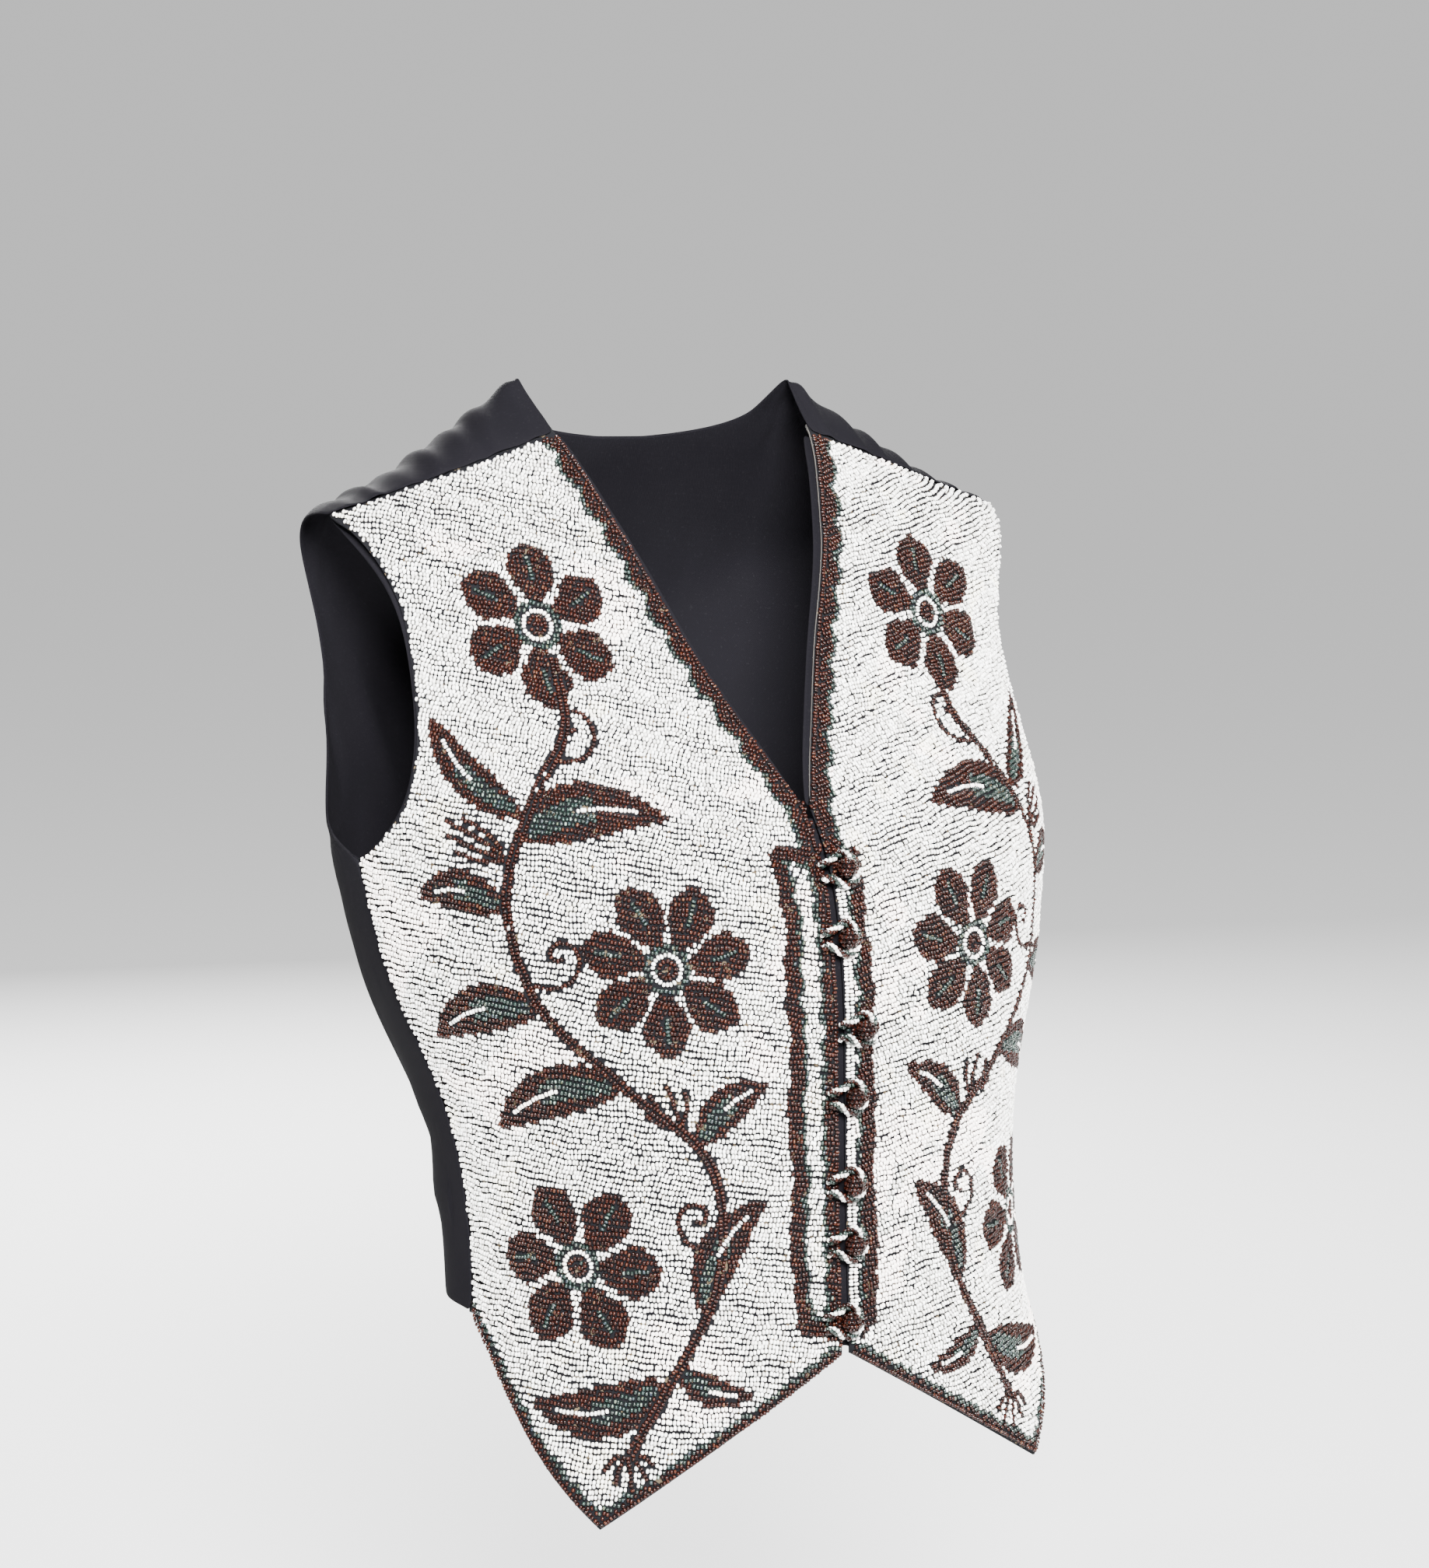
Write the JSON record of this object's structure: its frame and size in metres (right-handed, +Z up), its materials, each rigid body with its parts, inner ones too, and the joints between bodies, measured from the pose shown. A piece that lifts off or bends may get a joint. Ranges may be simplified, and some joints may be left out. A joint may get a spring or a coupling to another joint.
{
  "type": "beaded sleeveless gilet",
  "caption": "Fitted sleeveless gilet with two bead-covered fronts ending in points, a V neck, a plain cloth back gathered at the shoulders, and ball buttons in rope loops.",
  "frame": {"origin": "midway between the two points where neck and shoulder meet, where the wearer's shoulders hold the gilet", "axes": "+Z up, the fronts face -Y, +X is the wearer's left"},
  "size_m": [0.3456, 0.2649, 0.4863],
  "materials": {
    "ivory_beads": "rows of small opaque ivory glass beads sewn to cloth",
    "black_cloth": "plain closely woven blue-black cloth, matt",
    "brown_beads": "small clear dark brown glass beads",
    "striped_beads": "rope of brown, dark green and ivory glass beads in turn"
  },
  "bodies": {
    "root": {"right_front": "ivory_beads", "right_neck_facing": "black_cloth", "right_armhole_facing": "black_cloth", "left_front": "ivory_beads", "left_neck_facing": "black_cloth", "left_armhole_facing": "black_cloth", "back": "black_cloth", "underlap": "black_cloth", "button_1": "brown_beads", "loop_1": "striped_beads", "button_2": "brown_beads", "loop_2": "striped_beads", "button_3": "brown_beads", "loop_3": "striped_beads", "button_4": "brown_beads", "loop_4": "striped_beads", "button_5": "brown_beads", "loop_5": "striped_beads", "button_6": "brown_beads", "loop_6": "striped_beads", "button_7": "brown_beads", "loop_7": "striped_beads"}
  },
  "joints": []
}
